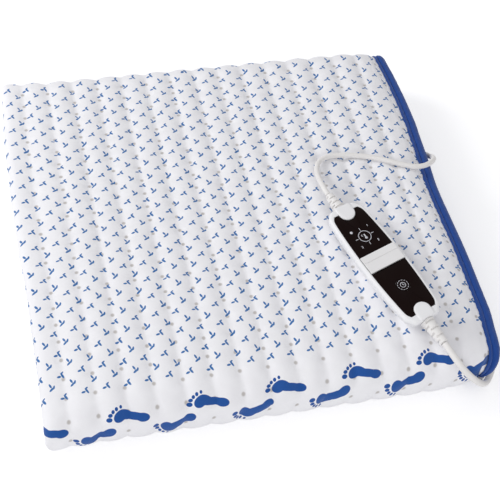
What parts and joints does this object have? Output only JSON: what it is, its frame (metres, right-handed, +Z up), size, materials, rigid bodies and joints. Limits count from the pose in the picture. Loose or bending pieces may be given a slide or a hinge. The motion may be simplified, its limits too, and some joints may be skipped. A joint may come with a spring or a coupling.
{
  "type": "electric underblanket",
  "caption": "Quilted electric underblanket folded into a flat pack, edged with blue tape, with a hand controller lying on it, its leads and its mains plug.",
  "frame": {"origin": "middle of the folded pack's underside, on the surface that it rests on, with the lead socket counted in the width", "axes": "+Z up, +X from the pack's folded side to its bound edge, +Y from the front fold to the back"},
  "size_m": [0.5496, 0.444, 0.0822],
  "materials": {
    "cover_cloth": "quilted white polyester with a printed blue pattern, matt",
    "wadding": "soft white polyester filling",
    "backing_cloth": "thin white non-woven cloth",
    "edge_tape": "blue woven tape, sewn",
    "wire_sheath": "pale insulated wire",
    "housing_plastic": "white plastic, satin",
    "panel_plastic": "glossy black with fine white marks",
    "part_black": "black moulded plastic",
    "board_green": "green circuit board",
    "lamp_clear": "clear lamp body",
    "capacitor_yellow": "yellow plastic case",
    "fuse_glass": "clear glass tube",
    "terminal_green": "green plastic block",
    "screw_steel": "zinc-plated steel",
    "pin_metal": "nickel-plated brass",
    "switch_can": "pressed steel can",
    "cord_sheath": "white flexible cord, satin",
    "tie_strap": "dark grey hook strap"
  },
  "bodies": {
    "blanket_and_housing": {"printed_cover": "cover_cloth", "wadding": "wadding", "backing_fabric": "backing_cloth", "heating_wire": "wire_sheath", "upper_edge_binding": "edge_tape", "lower_edge_binding": "edge_tape", "foot_end_binding": "edge_tape", "head_end_binding": "edge_tape", "lower_shell": "housing_plastic", "upper_shell": "housing_plastic", "heat_panel": "panel_plastic", "timer_panel": "panel_plastic", "heat_switch_body": "part_black", "timer_switch_body": "part_black", "slide_switch_body": "switch_can", "circuit_board": "board_green", "level_lamp_1": "lamp_clear", "level_lamp_2": "lamp_clear", "level_lamp_3": "lamp_clear", "level_lamp_4": "lamp_clear", "filter_capacitor": "capacitor_yellow", "fuse": "fuse_glass", "power_switch_chip": "part_black", "control_chip": "part_black", "blanket_terminal": "terminal_green", "mains_terminal": "terminal_green", "housing_screw_1": "screw_steel", "housing_screw_2": "screw_steel", "housing_screw_3": "screw_steel", "housing_screw_4": "screw_steel", "blanket_lead_relief": "housing_plastic", "mains_lead_relief": "housing_plastic", "blanket_lead": "cord_sheath", "mains_lead": "cord_sheath", "mains_coil": "cord_sheath", "plug_lead": "cord_sheath", "coil_tie": "tie_strap", "connector_relief": "housing_plastic", "lead_connector": "housing_plastic", "lead_socket": "housing_plastic", "socket_pin_1": "pin_metal", "socket_pin_2": "pin_metal", "plug_relief": "housing_plastic", "plug_body": "housing_plastic", "plug_pin_1": "pin_metal", "plug_pin_2": "pin_metal"},
    "slide_knob": {"slide_knob": "housing_plastic", "slide_switch_lever": "part_black"},
    "heat_key": {"heat_key": "panel_plastic", "heat_plunger": "part_black"},
    "timer_key": {"timer_key": "panel_plastic", "timer_plunger": "part_black"}
  },
  "joints": [
    {"name": "slide_knob_slide", "type": "slide", "parent": "blanket_and_housing", "child": "slide_knob", "axis": [0.3439, -0.937, -0.061], "range_m": [0, 0.005]},
    {"name": "heat_key_press", "type": "slide", "parent": "blanket_and_housing", "child": "heat_key", "axis": [0.02, 0.0723, -0.9972], "range_m": [0, 0.0006], "stiffness_N_per_m": 1500, "springref_m": -0.0005},
    {"name": "timer_key_press", "type": "slide", "parent": "blanket_and_housing", "child": "timer_key", "axis": [0.02, 0.0723, -0.9972], "range_m": [0, 0.0006], "stiffness_N_per_m": 1500, "springref_m": -0.0005}
  ]
}
